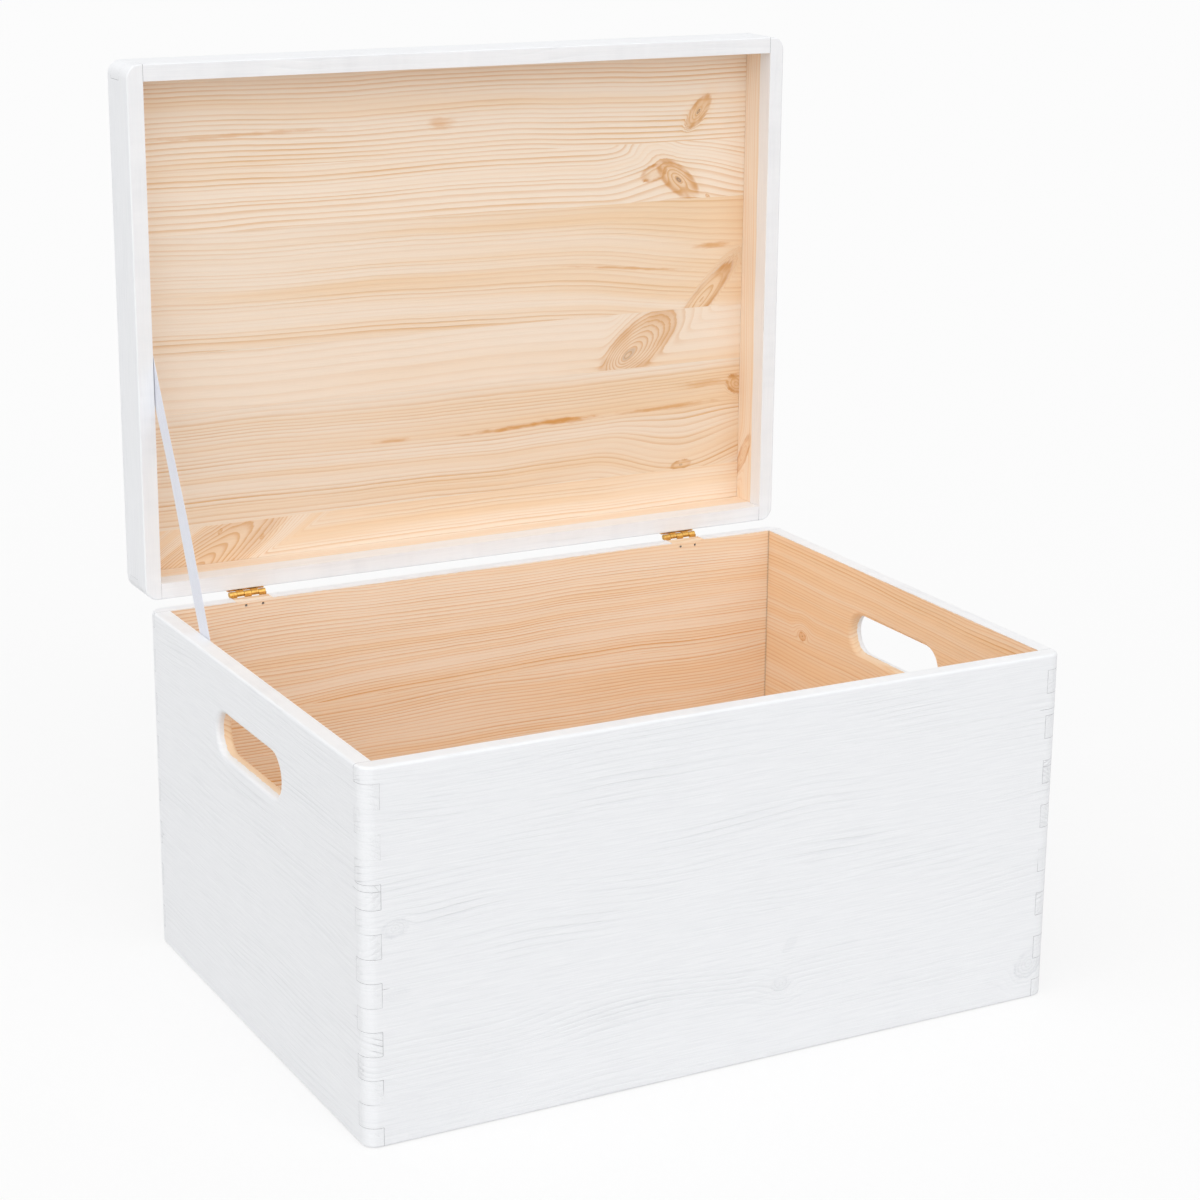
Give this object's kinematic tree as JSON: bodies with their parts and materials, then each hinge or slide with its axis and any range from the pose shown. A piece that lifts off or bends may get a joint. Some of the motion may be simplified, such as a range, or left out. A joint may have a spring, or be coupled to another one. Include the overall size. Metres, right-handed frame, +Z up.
{
  "type": "wooden storage chest",
  "caption": "Small pine chest with finger-jointed corners, a hand slot in each end and a framed lid on brass hinges, held open at a right angle by a ribbon; painted outside, natural inside.",
  "frame": {"origin": "middle of the chest's underside", "axes": "+X along the width, towards the right end seen from the front; -Y is the front, the hinges are at +Y; +Z up. The rest pose has the lid open at a right angle."},
  "size_m": [0.4, 0.3255, 0.487],
  "materials": {
    "painted_pine": "satin white paint",
    "natural_pine": "bare, sanded",
    "plywood": "bare",
    "brass": "bright plated",
    "steel": "bright",
    "satin_ribbon": "satin"
  },
  "bodies": {
    "chest": {"front_board_1": "painted_pine", "front_board_2": "painted_pine", "front_board_3": "painted_pine", "back_board_1": "painted_pine", "back_board_2": "painted_pine", "back_board_3": "painted_pine", "left_board_1": "painted_pine", "left_board_2": "painted_pine", "left_board_3": "painted_pine", "right_board_1": "painted_pine", "right_board_2": "painted_pine", "right_board_3": "painted_pine", "bottom_panel": "plywood", "bottom_brad_1": "steel", "bottom_brad_2": "steel", "bottom_brad_3": "steel", "bottom_brad_4": "steel", "bottom_brad_5": "steel", "bottom_brad_6": "steel", "bottom_brad_7": "steel", "bottom_brad_8": "steel", "bottom_brad_9": "steel", "bottom_brad_10": "steel", "left_hinge_box_leaf": "brass", "right_hinge_box_leaf": "brass", "left_hinge_pin": "brass", "right_hinge_pin": "brass", "hinge_nail_box_1": "steel", "hinge_nail_box_2": "steel", "hinge_nail_box_3": "steel", "hinge_nail_box_4": "steel", "ribbon_stay": "satin_ribbon", "ribbon_staple_box": "steel"},
    "lid": {"lid_front_rail": "painted_pine", "lid_back_rail": "painted_pine", "lid_left_rail": "painted_pine", "lid_right_rail": "painted_pine", "lid_board_1": "natural_pine", "lid_board_2": "natural_pine", "lid_board_3": "natural_pine", "lid_board_4": "natural_pine", "lid_board_5": "natural_pine", "left_hinge_lid_leaf": "brass", "right_hinge_lid_leaf": "brass", "hinge_nail_lid_1": "steel", "hinge_nail_lid_2": "steel", "hinge_nail_lid_3": "steel", "hinge_nail_lid_4": "steel", "ribbon_staple_lid": "steel"}
  },
  "joints": [
    {"name": "lid_hinge", "type": "hinge", "parent": "chest", "child": "lid", "pos_m": [0, 0.1473, 0.19475], "axis": [1, 0, 0], "range_deg": [0, 90.2], "deforming": ["ribbon_stay"]}
  ]
}
